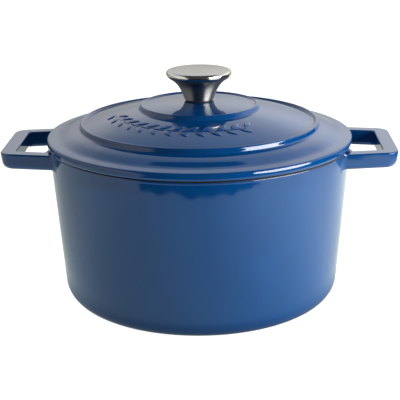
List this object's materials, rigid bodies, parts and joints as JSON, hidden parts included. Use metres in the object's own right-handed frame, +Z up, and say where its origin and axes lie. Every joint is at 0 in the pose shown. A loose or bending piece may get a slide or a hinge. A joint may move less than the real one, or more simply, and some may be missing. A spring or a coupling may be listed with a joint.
{
  "type": "dutch oven",
  "caption": "Round enamelled cast iron pot with loop handles, a terraced domed lid that lifts off and a flared steel knob screwed on from below.",
  "frame": {"origin": "centre of the pot's base, on the plane that it stands on", "axes": "+Z up along the pot's axis, +X through the middle of one loop handle, +Y away from the side that carries the lid's raised sprig"},
  "size_m": [0.3164, 0.248, 0.1883],
  "materials": {
    "blue_enamel": "glossy deep blue vitreous enamel over cast iron, bare black at the rim",
    "brushed_steel": "turned stainless steel with circular brush marks",
    "plain_steel": "plain bright steel",
    "black_silicone": "matte black silicone"
  },
  "bodies": {
    "pot": {"pot": "blue_enamel"},
    "lid": {"lid": "blue_enamel", "knob_gasket": "black_silicone"},
    "knob": {"knob_stem": "brushed_steel", "knob_cap": "brushed_steel", "knob_insert": "plain_steel"},
    "screw": {"knob_screw": "plain_steel", "spring_washer": "plain_steel", "flat_washer": "plain_steel"}
  },
  "joints": [
    {"name": "lid_lift", "type": "slide", "parent": "pot", "child": "lid", "axis": [0, 0, 1], "range_m": [0, 0.25]},
    {"name": "knob_rise", "type": "slide", "parent": "lid", "child": "knob", "axis": [0, 0, 1], "range_m": [0, 0.0122]},
    {"name": "screw_turn", "type": "hinge", "parent": "lid", "child": "screw", "pos_m": [0, 0, 0.1546], "axis": [0, 0, -1], "range_deg": [0, 4392]}
  ],
  "couplings": [
    {"joint": "screw_turn", "follows": "knob_rise", "rad_per_m": 6283.2}
  ]
}
